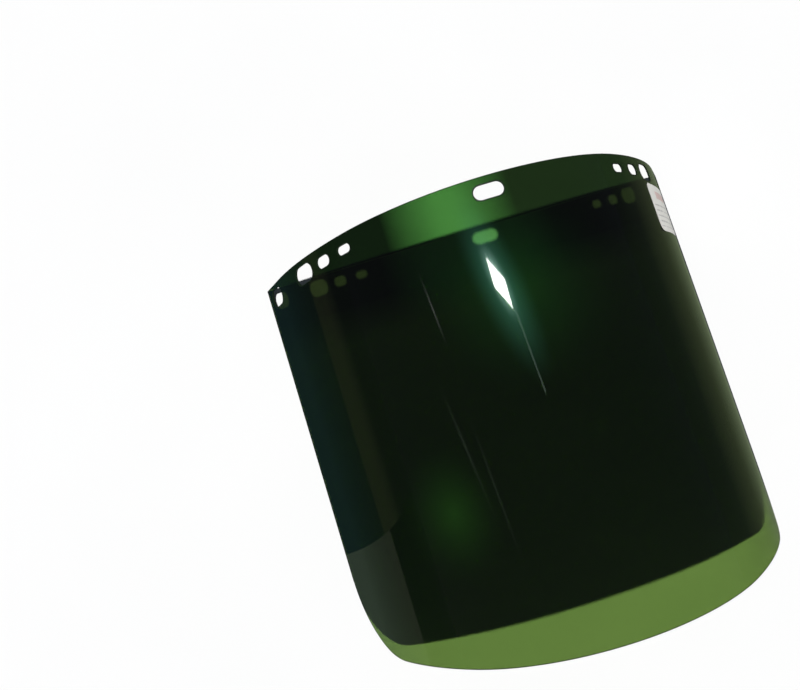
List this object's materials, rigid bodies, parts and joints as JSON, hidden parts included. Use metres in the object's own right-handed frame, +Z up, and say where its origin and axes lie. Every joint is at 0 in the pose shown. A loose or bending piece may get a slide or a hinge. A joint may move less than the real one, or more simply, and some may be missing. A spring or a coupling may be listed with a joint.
{
  "type": "face shield window",
  "caption": "Dark green curved window of a face shield: one tinted sheet arched to go round the face, slotted along its brow edge, with a small paper label.",
  "frame": {"origin": "on the ground under the middle of the arch and half way along it", "axes": "X across the arch, Y along it from the chin edge (-Y) to the slotted brow edge (+Y), Z up, hollow side down"},
  "size_m": [0.2704, 0.254, 0.1247],
  "materials": {
    "tinted_sheet": "glossy, transparent dark green polycarbonate",
    "label_paper": "matt, adhesive backed"
  },
  "bodies": {
    "root": {"window": "tinted_sheet", "label": "label_paper"}
  },
  "joints": []
}
